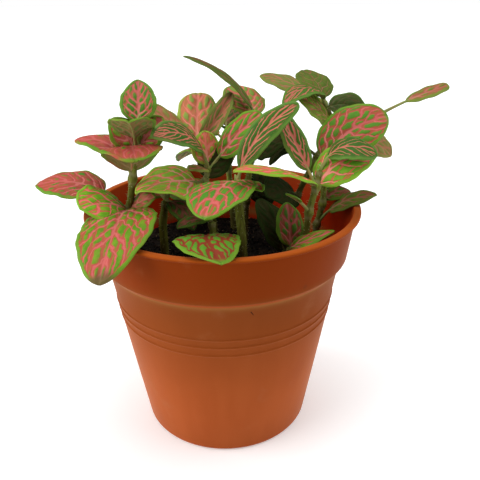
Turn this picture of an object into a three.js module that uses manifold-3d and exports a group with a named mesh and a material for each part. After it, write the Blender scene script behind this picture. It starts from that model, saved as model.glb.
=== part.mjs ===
// Potted nerve plant: a bunch of rooted leafy stems in a plastic nursery pot filled with potting mix.
// Millimetres, +Z up. The origin is the middle of the pot's base, and the front faces -Y.
import * as THREE from 'three';
import { mergeVertices } from 'three/addons/utils/BufferGeometryUtils.js';
import Module from 'manifold-3d';

// Pot
const POT_HEIGHT = 105;
const LIP_RADIUS = 60;
const LIP_WIDTH = 2.6;
const LIP_THICKNESS = 1.3;
const LIP_ROUND = 0.6;
const LIP_BEVEL = 0.2;
const LIP_FILLET = 0.6;
const COLLAR_TOP_RADIUS = 58;
const COLLAR_FOOT_RADIUS = 55.4;
const COLLAR_FOOT_Z = 85;
const COLLAR_ROUND = 0.9;
const SHOULDER_Z = 81.7;
const SHOULDER_RADIUS = 52.3;
const BASE_RADIUS = 39.4;
const WALL = 1.5;
const FLOOR = 2;
const FOOT_CHAMFER = 1.4;
const FOOT_RING_WIDTH = 6;
const RECESS_DEPTH = 1.5;
const PAD_RADIUS = 14;
const RING_HEIGHTS = [57.6, 61.8, 65.8];
const RING_PROUD = 0.3;
const RING_HALF = 0.6;
const DRAIN_COUNT = 6;
const DRAIN_RADIUS = 3.5;
const DRAIN_CIRCLE = 24;
const POT_SIDES = 48;

// Potting mix
const MIX_TOP = 79;
const MIX_SIDES = 34;
const MIX_ROWS = 6;
const MIX_WAVES = [
  { height: 0.7, x: 9, y: 11, shift: 1 },
  { height: 0.5, x: 4.1, y: 3.7, shift: 2.3 },
];
const MIX_GAP = 0.7;
const CLEARANCE = 0.3;
const HOLE_RADIUS = 2;
const HOLE_DEPTH = 10;
const HOLE_SIDES = 10;

// Stems and leaves
const STEM_RADIUS = 1.5;
const STEM_SIDES = 6;
const STEM_STEP = 5;
const JOINT_RADIUS = 2.1;
const PETIOLE_HALF_WIDTH = 0.9;
const PETIOLE_THICKNESS = 1.6;
const STALK_TAPER = 0.75;
const STALK_SHARE = 0.14;
const BLADE_THICKNESS = 0.75;
const BLADE_ROWS = [0.04, 0.18, 0.42, 0.68, 0.9];
const BLADE_COLUMNS = [-1, -0.5, 0, 0.5, 1];
const BASE_POWER = 0.5;
const TIP_POWER = 0.62;
const MARGIN_CURL = 0.16;
const MIDDLE_SHARE = 0.45;

// Each stem: its way up from the mix, point by point, then its leaves. A leaf grows from point `at` of
// the way to its tip. `bow` lifts its middle and `sway` moves it to the right, seen from the stem. `roll`
// turns the leaf about its midrib, right-hand side up, `twist` adds to that towards the tip, and `fold`
// raises both halves into a V, all in degrees. `stalk` is the share of the length before the blade, and
// `taper` makes the tip blunter below TIP_POWER and longer above it. `girth` makes a whole stem stouter.
const STEMS = [
  {
    name: 'leafy_stem_left',
    way: [
      [-38, -13, 79], [-39, -14, 95], [-39.5, -14, 107], [-38, -14, 113],
      [-36.5, -14, 121], [-34, -13, 133], [-32.5, -12, 143],
    ],
    leaves: [
      {
        at: 2, tip: [-43.5, -61, 97.5], width: 30, bow: 8,
        sway: -1.8, roll: -8, fold: 8, stalk: 0.06, taper: 0.6,
      },
      { at: 2, tip: [-54.5, -31, 114.5], width: 26, bow: 2.5, roll: 26, fold: 6, stalk: 0.05 },
      { at: 2, tip: [-79, -4, 116], width: 21, bow: 6, roll: 14, fold: 6, stalk: 0.3 },
      { at: 2, tip: [-27, -21, 115], width: 12, bow: 1, roll: -38, fold: 12, stalk: 0.1 },
      { at: 4, tip: [-60, -6, 135], width: 13, bow: 7, roll: 15, fold: 6 },
      { at: 4, tip: [-31, -36, 134], width: 24, bow: 9, roll: 0, fold: 5, stalk: 0.08, taper: 0.5 },
      { at: 4, tip: [-38, 12, 136], width: 15, bow: 3, roll: 0, fold: 12, stalk: 0.2 },
      { at: 5, tip: [-43, -13, 145], width: 14, bow: 0, roll: 45, fold: 12, stalk: 0.03 },
      { at: 5, tip: [-23.5, -8, 144.5], width: 14, bow: 0, roll: -45, fold: 12, stalk: 0.03 },
      { at: 6, tip: [-33, 0, 158], width: 15, bow: 1, roll: 0, fold: 12, stalk: 0.03, taper: 0.72 },
      { at: 5, tip: [-33, -32, 147.5], width: 19.5, bow: 2, roll: 0, fold: 24, stalk: 0.3 },
    ],
  },
  {
    name: 'leafy_stem_left_inner',
    way: [[-26, -10, 79], [-26, -10, 90], [-26, -10, 100], [-24, -10, 110]],
    leaves: [
      { at: 3, tip: [-37, 4, 112], width: 13, bow: 2, roll: 20, fold: 10 },
      { at: 3, tip: [-12, -22, 101], width: 12, bow: 3, roll: 0, fold: 10 },
    ],
    girth: 1.25,
  },
  {
    name: 'leafy_stem_centre_left',
    way: [[-4, 5, 79], [-5, 2, 100], [-8, -4, 115], [-6, -2, 120], [-11, 2, 128]],
    leaves: [
      {
        at: 2, tip: [-34, -24, 118], width: 23, bow: 2,
        sway: 3, roll: 58, twist: -75, fold: 6, stalk: 0.12,
      },
      { at: 3, tip: [-26.5, -24, 140], width: 15, bow: 8, roll: 38, fold: 8, stalk: 0.22 },
      {
        at: 3, tip: [16.5, -2, 144.5], width: 15.5, bow: 1,
        roll: -40, fold: 10, stalk: 0.26, taper: 0.5,
      },
      { at: 3, tip: [-7.5, 0, 137], width: 15, bow: 0, roll: 0, fold: 10, stalk: 0.2 },
      { at: 4, tip: [5, 15, 150], width: 10, bow: 0, roll: -50, fold: 38, stalk: 0.08, taper: 0.5 },
      { at: 4, tip: [-10.5, 26, 148.5], width: 18, bow: 0, roll: 0, fold: 8, taper: 0.32 },
      { at: 4, tip: [-30, 14, 146], width: 12, bow: 0, roll: 10, fold: 10, stalk: 0.3 },
      { at: 4, tip: [-27, 3, 136], width: 9, bow: 4, roll: 30, fold: 10, stalk: 0.2 },
      { at: 3, tip: [-14, -10, 123], width: 9, bow: 1, roll: 10, fold: 8 },
      { at: 1, tip: [-26, 20, 103], width: 15, bow: 3, roll: 0, fold: 8 },
      { at: 2, tip: [4, 3, 131], width: 15, bow: 2, roll: -35, fold: 8 },
    ],
  },
  {
    name: 'leafy_stem_front_low',
    way: [[-4, -24, 79], [-4, -24, 96], [-5, -22, 105]],
    leaves: [
      { at: 1, tip: [-1, -65, 106.5], width: 25, bow: 6, sway: 4, roll: 0, fold: 5 },
      { at: 2, tip: [-18, -32, 106], width: 10, bow: 2, roll: 0, fold: 10 },
    ],
  },
  {
    name: 'leafy_stem_front',
    way: [[8, -22, 79], [7.5, -21, 96], [6.5, -18, 108], [6, -16, 119]],
    leaves: [
      { at: 3, tip: [-7, -46, 115], width: 28, bow: 5, roll: -8, fold: 6 },
      { at: 3, tip: [15, -30, 120], width: 9, bow: 1, roll: 0, fold: 10, stalk: 0.3 },
      { at: 3, tip: [30.5, -12, 149.5], width: 12, bow: 5, roll: -42, fold: 8, taper: 0.5 },
    ],
    girth: 1.3,
  },
  {
    name: 'leafy_stem_front_inner',
    way: [[25, -15, 79], [26, -17, 85], [28, -20, 91]],
    leaves: [
      { at: 2, tip: [27, -11, 108.5], width: 14, bow: 1, roll: -20, fold: 12, stalk: 0.06 },
      { at: 1, tip: [15, -5, 108], width: 17, bow: 3, roll: 0, fold: 10 },
      { at: 2, tip: [44.5, -27, 101.5], width: 11, bow: 3, sway: 9, roll: -14, fold: 8, stalk: 0.05 },
    ],
  },
  {
    name: 'leafy_stem_right_front',
    way: [[34, -20, 79], [34, -20, 94], [35, -20, 107], [38, -17, 117], [40, -14, 123]],
    leaves: [
      { at: 2, tip: [24.5, -28, 118], width: 6, bow: 1, roll: 0, fold: 10, stalk: 0.5 },
      { at: 3, tip: [4, -37, 130], width: 19, bow: 3, roll: 0, fold: 8, stalk: 0.04 },
      { at: 3, tip: [63, -12, 129.5], width: 19, bow: 4, roll: -32, fold: 6, stalk: 0.05 },
      { at: 3, tip: [24, -8, 145], width: 11, bow: 0, roll: 30, fold: 12, stalk: 0.25, taper: 0.5 },
      { at: 4, tip: [61, -20, 130], width: 14.5, bow: 7, roll: -24, fold: 4, stalk: 0.2, taper: 0.5 },
    ],
  },
  {
    name: 'leafy_stem_right',
    way: [[42, 4, 79], [43, 4, 92], [45, 4, 102], [45, 4, 113], [43.5, 3, 122.5]],
    leaves: [
      { at: 1, tip: [66, -8, 110], width: 12, bow: 3.8, roll: -20, fold: 6, stalk: 0.3 },
      { at: 2, tip: [59, 9, 105.5], width: 10, bow: 3, roll: -20, fold: 10, stalk: 0.15 },
      { at: 4, tip: [73, 10.5, 140], width: 23.5, bow: 4, roll: -45, fold: 8, stalk: 0.04, taper: 0.5 },
    ],
  },
  {
    name: 'leafy_stem_back_right',
    way: [[32, 22, 79], [36, 21, 100], [44, 18, 120], [51, 21, 133], [48.5, 25, 141.5]],
    leaves: [
      { at: 3, tip: [33.5, 16, 148], width: 18, bow: 2, roll: 35, fold: 10 },
      { at: 2, tip: [22, 20, 116], width: 11, bow: 8, roll: 25, fold: 10 },
      { at: 4, tip: [65, 25, 136.5], width: 18, bow: 4, roll: 45, fold: 5, stalk: 0.05 },
      { at: 4, tip: [26.5, 8, 145.5], width: 14, bow: 8, roll: 10, fold: 5 },
      { at: 4, tip: [40, 44, 156], width: 18, bow: 3, roll: 0, fold: 5, stalk: 0.2, taper: 0.5 },
      { at: 4, tip: [18, 33, 155], width: 14, bow: 3, roll: 20, fold: 5, stalk: 0.3 },
      { at: 1, tip: [20, 3, 106], width: 20, bow: 3, roll: 38, fold: 8 },
    ],
  },
  {
    name: 'leafy_stem_far_right',
    way: [[44, 12, 79], [47, 12, 100], [54, 13, 113], [64, 17, 127], [70, 19, 138]],
    leaves: [
      { at: 4, tip: [102, 20, 151.5], width: 9, bow: 1, roll: -20, fold: 8, stalk: 0.45, taper: 0.35 },
      { at: 3, tip: [79, 18, 120], width: 12, bow: 2, roll: -50, fold: 10 },
    ],
  },
  {
    name: 'leafy_stem_centre',
    way: [[10, 14, 79], [11, 15, 100], [13, 15, 120], [16, 15, 138]],
    leaves: [
      { at: 3, tip: [-16, 22, 165], width: 12, bow: 5, roll: 0, fold: 12 },
      { at: 3, tip: [6, 30, 151], width: 21, bow: 1, roll: 0, fold: 8, taper: 0.45 },
      { at: 2, tip: [31, 7, 134], width: 18, bow: 2, roll: -35, fold: 8 },
      { at: 2, tip: [-2, 11, 138], width: 13, bow: 2, roll: 0, fold: 8 },
      { at: 1, tip: [26, 28, 104], width: 20, bow: 2, roll: -60, fold: 8 },
    ],
  },
  {
    name: 'leafy_stem_back',
    way: [[5, 33, 79], [4, 36, 96], [3, 38, 110], [2, 40, 122]],
    leaves: [
      { at: 2, tip: [-24, 64, 107], width: 20, bow: 9, roll: 0, fold: 6, stalk: 0.2 },
      { at: 2, tip: [22, 65, 108], width: 19, bow: 9, roll: 0, fold: 6, stalk: 0.2 },
      { at: 3, tip: [-22, 47, 131], width: 16, bow: 4, roll: 0, fold: 8, stalk: 0.2 },
      { at: 3, tip: [26, 47, 131], width: 16, bow: 4, roll: 0, fold: 8, stalk: 0.2 },
      { at: 3, tip: [3, 66, 136], width: 17, bow: 3, roll: 0, fold: 8, stalk: 0.38 },
      { at: 1, tip: [-31, 37, 101], width: 16, bow: 4, roll: 0, fold: 8 },
    ],
  },
];

const wasm = await Module();
wasm.setup();

// Solids and booleans

function solidOf(geometry) {
  const bare = geometry.index ? geometry.toNonIndexed() : geometry.clone();
  bare.deleteAttribute('normal');
  bare.deleteAttribute('uv');
  const merged = mergeVertices(bare, 1e-4);
  const mesh = new wasm.Mesh({
    numProp: 3,
    vertProperties: new Float32Array(merged.attributes.position.array),
    triVerts: new Uint32Array(merged.index.array),
  });
  return new wasm.Manifold(mesh);
}

function geometryOf(solid) {
  const mesh = solid.getMesh();
  const geometry = new THREE.BufferGeometry();
  geometry.setAttribute('position', new THREE.BufferAttribute(new Float32Array(mesh.vertProperties), 3));
  geometry.setIndex(new THREE.BufferAttribute(new Uint32Array(mesh.triVerts), 1));
  geometry.computeVertexNormals();
  return geometry;
}

function vertical(geometry) {
  return geometry.rotateX(Math.PI / 2);
}

function upright(radius, sides, low, high, x, y) {
  const post = vertical(new THREE.CylinderGeometry(radius, radius, high - low, sides));
  return solidOf(post.translate(x, y, (low + high) / 2));
}

// Pot

function bodyRadius(z) {
  return BASE_RADIUS + ((SHOULDER_RADIUS - BASE_RADIUS) * z) / SHOULDER_Z;
}

function outerProfile() {
  const ringStart = BASE_RADIUS - FOOT_CHAMFER - FOOT_RING_WIDTH;
  const points = [
    [0, 0],
    [PAD_RADIUS, 0],
    [PAD_RADIUS + RECESS_DEPTH, RECESS_DEPTH],
    [ringStart - RECESS_DEPTH, RECESS_DEPTH],
    [ringStart, 0],
    [BASE_RADIUS - FOOT_CHAMFER, 0],
    [bodyRadius(FOOT_CHAMFER), FOOT_CHAMFER],
  ];
  for (const z of RING_HEIGHTS) {
    points.push([bodyRadius(z - RING_HALF), z - RING_HALF]);
    points.push([bodyRadius(z) + RING_PROUD, z]);
    points.push([bodyRadius(z + RING_HALF), z + RING_HALF]);
  }
  const lipFoot = POT_HEIGHT - LIP_THICKNESS;
  points.push(
    [SHOULDER_RADIUS, SHOULDER_Z],
    [COLLAR_FOOT_RADIUS - COLLAR_ROUND, COLLAR_FOOT_Z - 2 * COLLAR_ROUND],
    [COLLAR_FOOT_RADIUS, COLLAR_FOOT_Z],
    [COLLAR_TOP_RADIUS, lipFoot - LIP_FILLET],
    [LIP_RADIUS - LIP_BEVEL, lipFoot],
    [LIP_RADIUS, POT_HEIGHT - LIP_ROUND],
    [LIP_RADIUS - LIP_ROUND, POT_HEIGHT - LIP_BEVEL],
    [LIP_RADIUS - LIP_WIDTH, POT_HEIGHT],
  );
  return points;
}

function innerProfile() {
  const floorTop = RECESS_DEPTH + FLOOR;
  return [
    [LIP_RADIUS - LIP_WIDTH - LIP_ROUND, POT_HEIGHT - LIP_ROUND],
    [COLLAR_FOOT_RADIUS - WALL, COLLAR_FOOT_Z],
    [SHOULDER_RADIUS - WALL, SHOULDER_Z],
    [bodyRadius(floorTop) - WALL, floorTop],
    [0, floorTop],
  ];
}

function turned(profile, sides) {
  const points = profile.map(([radius, z]) => new THREE.Vector2(radius, z));
  return solidOf(vertical(new THREE.LatheGeometry(points, sides)));
}

function buildPot() {
  let pot = turned([...outerProfile(), ...innerProfile()], POT_SIDES);
  for (let i = 0; i < DRAIN_COUNT; i += 1) {
    const angle = (2 * Math.PI * (i + 0.5)) / DRAIN_COUNT;
    const x = DRAIN_CIRCLE * Math.cos(angle);
    const y = DRAIN_CIRCLE * Math.sin(angle);
    pot = pot.subtract(upright(DRAIN_RADIUS, HOLE_SIDES, -1, RECESS_DEPTH + FLOOR + 1, x, y));
  }
  return pot;
}

// Potting mix: its top is crumbly, with one plain hole for each stem

function mixHeight(x, y) {
  let height = MIX_TOP;
  for (const wave of MIX_WAVES) {
    height += wave.height * Math.sin(x / wave.x + wave.shift) * Math.cos(y / wave.y - wave.shift);
  }
  return height;
}

function buildMix() {
  const low = RECESS_DEPTH + FLOOR + CLEARANCE;
  const lowRadius = bodyRadius(low) - WALL - MIX_GAP;
  const topRadius = bodyRadius(MIX_TOP) - WALL - MIX_GAP;
  const points = [[0, 0, low]];
  const ringOf = (radius, height) => {
    for (let i = 0; i < MIX_SIDES; i += 1) {
      const angle = (2 * Math.PI * i) / MIX_SIDES;
      const x = radius * Math.cos(angle);
      const y = radius * Math.sin(angle);
      points.push([x, y, height === null ? mixHeight(x, y) : height]);
    }
  };
  ringOf(lowRadius, low);
  for (let row = MIX_ROWS; row > 0; row -= 1) {
    ringOf((topRadius * row) / MIX_ROWS, null);
  }
  points.push([0, 0, mixHeight(0, 0)]);
  const index = [];
  const rings = MIX_ROWS + 1;
  const last = points.length - 1;
  for (let i = 0; i < MIX_SIDES; i += 1) {
    const next = (i + 1) % MIX_SIDES;
    index.push(0, 1 + next, 1 + i);
    for (let ring = 0; ring < rings - 1; ring += 1) {
      const a = 1 + ring * MIX_SIDES;
      const b = a + MIX_SIDES;
      index.push(a + i, a + next, b + next, a + i, b + next, b + i);
    }
    const top = 1 + (rings - 1) * MIX_SIDES;
    index.push(top + i, top + next, last);
  }
  let mix = solidOf(meshGeometry(points, index));
  for (const { way, girth = 1 } of STEMS) {
    const [x, y] = way[0];
    const radius = HOLE_RADIUS * girth;
    mix = mix.subtract(upright(radius, HOLE_SIDES, MIX_TOP - HOLE_DEPTH, MIX_TOP + HOLE_DEPTH, x, y));
  }
  return mix;
}

function meshGeometry(points, index) {
  const geometry = new THREE.BufferGeometry();
  geometry.setAttribute('position', new THREE.BufferAttribute(new Float32Array(points.flat()), 3));
  geometry.setIndex(index);
  return geometry;
}

// Leaf: a petiole that widens into a thin folded blade

function halfWidth(along, leaf) {
  const taper = leaf.taper ?? TIP_POWER;
  const peak = BASE_POWER / (BASE_POWER + taper);
  const most = peak ** BASE_POWER * (1 - peak) ** taper;
  return ((leaf.width / 2) * along ** BASE_POWER * (1 - along) ** taper) / most;
}

function leafLine(base, leaf) {
  const start = new THREE.Vector3(...base);
  const tip = new THREE.Vector3(...leaf.tip);
  const chord = tip.clone().sub(start);
  const side = new THREE.Vector3(chord.y, -chord.x, 0).normalize();
  const up = side.clone().cross(chord).normalize();
  const middle = start.clone().addScaledVector(chord, MIDDLE_SHARE);
  middle.addScaledVector(up, 2 * leaf.bow).addScaledVector(side, 2 * (leaf.sway ?? 0));
  return { curve: new THREE.QuadraticBezierCurve3(start, middle, tip), side };
}

function leafRow(line, leaf, place, thickness, offsets) {
  const centre = line.curve.getPoint(place);
  const normal = line.side.clone().cross(line.curve.getTangent(place)).normalize();
  const roll = THREE.MathUtils.degToRad(leaf.roll + (leaf.twist ?? 0) * place);
  const across = line.side.clone().multiplyScalar(Math.cos(roll)).addScaledVector(normal, Math.sin(roll));
  const up = normal.clone().multiplyScalar(Math.cos(roll)).addScaledVector(line.side, -Math.sin(roll));
  return offsets.map(([sideways, lift]) => {
    const middle = centre.clone().addScaledVector(across, sideways).addScaledVector(up, lift);
    const top = middle.clone().addScaledVector(up, thickness / 2);
    const under = middle.addScaledVector(up, -thickness / 2);
    return [top.toArray(), under.toArray()];
  });
}

function bladeOffsets(along, leaf) {
  const half = halfWidth(along, leaf);
  const fold = THREE.MathUtils.degToRad(leaf.fold);
  return BLADE_COLUMNS.map((u) => {
    const lift = half * (Math.abs(u) * Math.sin(fold) - MARGIN_CURL * u * u);
    return [half * u * Math.cos(fold), lift];
  });
}

function leafSolid(base, leaf) {
  const line = leafLine(base, leaf);
  const stalk = [[-PETIOLE_HALF_WIDTH, 0], [PETIOLE_HALF_WIDTH, 0]];
  const stalkShare = leaf.stalk ?? STALK_SHARE;
  const rows = [
    leafRow(line, leaf, 0, PETIOLE_THICKNESS, stalk),
    leafRow(line, leaf, stalkShare, PETIOLE_THICKNESS * STALK_TAPER, stalk),
  ];
  for (const along of BLADE_ROWS) {
    const place = stalkShare + (1 - stalkShare) * along;
    rows.push(leafRow(line, leaf, place, BLADE_THICKNESS, bladeOffsets(along, leaf)));
  }
  rows.push(leafRow(line, leaf, 1, BLADE_THICKNESS, [[0, 0]]));
  return solidOf(closedSheet(rows));
}

// Joins rows of top and underside points into one closed thin solid, both faces split alike
function closedSheet(rows) {
  const points = [];
  const starts = [];
  for (const row of rows) {
    starts.push(points.length / 2);
    for (const [top, under] of row) {
      points.push(top, under);
    }
  }
  const index = [];
  const faces = (a, b, c) => {
    index.push(2 * a, 2 * b, 2 * c);
    index.push(2 * c + 1, 2 * b + 1, 2 * a + 1);
  };
  const wall = (a, b) => {
    index.push(2 * a, 2 * b + 1, 2 * b, 2 * a, 2 * a + 1, 2 * b + 1);
  };
  for (let r = 0; r + 1 < rows.length; r += 1) {
    const near = starts[r];
    const far = starts[r + 1];
    const nearLast = rows[r].length - 1;
    const farLast = rows[r + 1].length - 1;
    let i = 0;
    let j = 0;
    while (i < nearLast || j < farLast) {
      const nearShare = nearLast > 0 ? (i + 1) / nearLast : Infinity;
      const farShare = farLast > 0 ? (j + 1) / farLast : Infinity;
      if (i < nearLast && (j === farLast || nearShare <= farShare)) {
        faces(near + i, near + i + 1, far + j);
        i += 1;
      } else {
        faces(near + i, far + j + 1, far + j);
        j += 1;
      }
    }
    wall(far, near);
    wall(near + nearLast, far + farLast);
  }
  const firstRow = rows[0].length - 1;
  for (let i = 0; i < firstRow; i += 1) {
    wall(i, i + 1);
  }
  return meshGeometry(points, index);
}

// Leafy stem: a round stem through its way points, a swollen joint at each pair of leaves

function stemSolid(way, girth) {
  const [x, y] = way[0];
  const foot = MIX_TOP - HOLE_DEPTH + CLEARANCE;
  const straight = [[x, y, foot], [x, y, MIX_TOP - HOLE_DEPTH / 2], [x, y, MIX_TOP + JOINT_RADIUS]];
  const points = [...straight, ...way.slice(1)];
  const curve = new THREE.CatmullRomCurve3(points.map((point) => new THREE.Vector3(...point)));
  const section = new THREE.Shape();
  for (let i = 0; i < STEM_SIDES; i += 1) {
    const angle = (2 * Math.PI * i) / STEM_SIDES;
    const corner = [girth * STEM_RADIUS * Math.cos(angle), girth * STEM_RADIUS * Math.sin(angle)];
    if (i === 0) {
      section.moveTo(...corner);
    } else {
      section.lineTo(...corner);
    }
  }
  section.closePath();
  const steps = Math.round(curve.getLength() / STEM_STEP);
  return solidOf(new THREE.ExtrudeGeometry(section, { extrudePath: curve, steps, bevelEnabled: false }));
}

function jointSolid(point, girth) {
  return solidOf(new THREE.IcosahedronGeometry(girth * JOINT_RADIUS, 0).translate(...point));
}

function buildStem({ way, leaves, girth = 1 }) {
  let plant = stemSolid(way, girth);
  for (const at of new Set(leaves.map((leaf) => leaf.at))) {
    plant = plant.add(jointSolid(way[at], girth));
  }
  for (const leaf of leaves) {
    plant = plant.add(leafSolid(way[leaf.at], leaf));
  }
  return plant;
}

// Materials

function terracottaPlastic() {
  return new THREE.MeshStandardMaterial({ color: 0xb0592c, roughness: 0.5, metalness: 0 });
}

function darkPeat() {
  return new THREE.MeshStandardMaterial({ color: 0x1c1510, roughness: 0.95, metalness: 0 });
}

function veinedLeaf() {
  return new THREE.MeshStandardMaterial({ color: 0x5f8a32, roughness: 0.6, metalness: 0 });
}

// The whole object

function piece(name, solid, material) {
  const mesh = new THREE.Mesh(geometryOf(solid), material);
  mesh.name = name;
  return mesh;
}

const plant = new THREE.Group();
plant.add(piece('pot', buildPot(), terracottaPlastic()));
plant.add(piece('potting_mix', buildMix(), darkPeat()));
for (const stem of STEMS) {
  plant.add(piece(stem.name, buildStem(stem), veinedLeaf()));
}

export default plant;
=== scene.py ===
"""Potted nerve plant: fine leaves, stems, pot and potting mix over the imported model, with a studio stage.

Lengths in the tables of stems and leaves are millimetres. Everything made is in metres.
"""

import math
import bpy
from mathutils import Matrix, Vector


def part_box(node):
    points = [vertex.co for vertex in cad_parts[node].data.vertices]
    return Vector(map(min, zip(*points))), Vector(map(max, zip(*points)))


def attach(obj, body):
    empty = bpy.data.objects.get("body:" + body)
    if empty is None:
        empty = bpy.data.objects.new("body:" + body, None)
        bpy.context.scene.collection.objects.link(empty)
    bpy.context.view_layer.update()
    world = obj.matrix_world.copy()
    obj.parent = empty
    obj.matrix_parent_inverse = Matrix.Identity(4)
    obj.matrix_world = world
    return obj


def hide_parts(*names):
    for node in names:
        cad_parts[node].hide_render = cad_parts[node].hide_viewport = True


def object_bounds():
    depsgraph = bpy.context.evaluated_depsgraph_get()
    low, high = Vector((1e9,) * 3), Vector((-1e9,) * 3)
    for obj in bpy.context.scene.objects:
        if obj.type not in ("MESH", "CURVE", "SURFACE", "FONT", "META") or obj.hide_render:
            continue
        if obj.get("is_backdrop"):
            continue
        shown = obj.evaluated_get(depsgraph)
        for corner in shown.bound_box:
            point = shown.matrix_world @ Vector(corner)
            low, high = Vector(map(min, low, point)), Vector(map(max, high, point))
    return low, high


bl_info = {
    "name": "Potted nerve plant",
    "version": (1, 0, 0),
    "blender": (4, 5, 0),
    "location": "3D View > Sidebar > Nerve plant",
    "description": "Makes the leaves, stems, pot and potting mix of a nerve plant, and a studio stage",
    "category": "Add Mesh",
}

from types import SimpleNamespace

import bpy
import numpy as np
from bpy.props import FloatProperty, FloatVectorProperty, IntProperty, PointerProperty
from mathutils import Matrix, Vector

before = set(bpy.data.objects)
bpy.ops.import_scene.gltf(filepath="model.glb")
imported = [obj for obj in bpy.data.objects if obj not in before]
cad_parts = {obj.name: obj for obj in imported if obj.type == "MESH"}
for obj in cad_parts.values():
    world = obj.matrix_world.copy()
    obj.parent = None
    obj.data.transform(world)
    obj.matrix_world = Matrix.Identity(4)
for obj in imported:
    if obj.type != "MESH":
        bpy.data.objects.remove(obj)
CAD_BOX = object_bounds()

MM = 0.001
IMAGE_SIZE = 480
FULL_TURN = 6.28
FLOOR_REACH = 60.0
FLOOR_DROP = 0.4 * MM
FLOOR_GLOW = 0.26
LIGHTS = {"left": (-1.0, -0.22, 0.36), "right": (1.0, -0.1, 0.4), "top": (0.0, 0.1, 1.0)}
WHITE = (1, 1, 1, 1)

# The pot and its mix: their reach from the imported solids, and what is inside as in the source
_, POT_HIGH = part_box("pot")
POT_HEIGHT = POT_HIGH.z
LIP_RADIUS = POT_HIGH.x
MIX_LOW, MIX_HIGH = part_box("potting_mix")
MIX_TOP = 79 * MM
MIX_LOW_RADIUS = 38 * MM
MIX_RINGS = 70
MIX_SIDES = 180
MIX_BARE_EDGE = 1.2 * MM
POT_WALL = 1.5 * MM
POT_FLOOR = 3.5 * MM
POT_ROUNDING = 1.4 * MM
LIP_ROUNDING = 0.6 * MM
LIP_FOOT_ROUNDING = 0.4 * MM
DRAIN_SIDES = 24
SHARP_ANGLE = math.radians(35)
RING_HEIGHTS = (57.6 * MM, 61.8 * MM, 65.8 * MM)
RING_HALF = 0.75 * MM

# Heights between which the painted shade of the outer wall, the painted glow of the inner wall and the
# lighter lip top change, and where the painted highlight and the crease under the collar lie
COLLAR_TONE = (82 * MM, 88 * MM)
SHADED_WALL = (15 * MM, 98 * MM)
GLOW_START = (84 * MM, 101 * MM)
GLOW_FADE = (90 * MM, 105 * MM)
WORN_EDGE = (POT_HEIGHT - 1.2 * MM, POT_HEIGHT)
CREASE_HEIGHT = 82.2 * MM
CREASE_SPREAD = 1.8 * MM
CREASE_TOP = 0.8 * MM

# The form of every blade, as in the solids
BASE_POWER = 0.5
TIP_POWER = 0.62
MARGIN_CURL = 0.16
MIDDLE_SHARE = 0.45


# Stems and leaves


def leaf(at, tip, width, bow=0.0, roll=0.0, fold=8.0, stalk=0.14, twist=0.0, sway=0.0, taper=TIP_POWER,
         veins=3.0, pink=1.0, fine=0.0, pale=0.0, brown=0.0, dark=0.0, deep=0.0):
    """One leaf: where it grows and its form, as in the solids, then how far apart its side veins run and its
    colouring. Where its painted light and shade is over 0 the leaf is given painted shade, and under 0
    painted light makes it lighter than the rest. Its deep value paints shade on its veins.
    """
    return SimpleNamespace(**locals())


def stem(way, *leaves):
    """One leafy stem: the points of its way up, and its leaves."""
    return way, leaves


# A leaf's painted light and shade value over 0 paints shade on leaves deep in the plant, and under 0 paints
# light on leaves that the lamps leave in shade. Its deep value paints shade on the veins.
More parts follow.
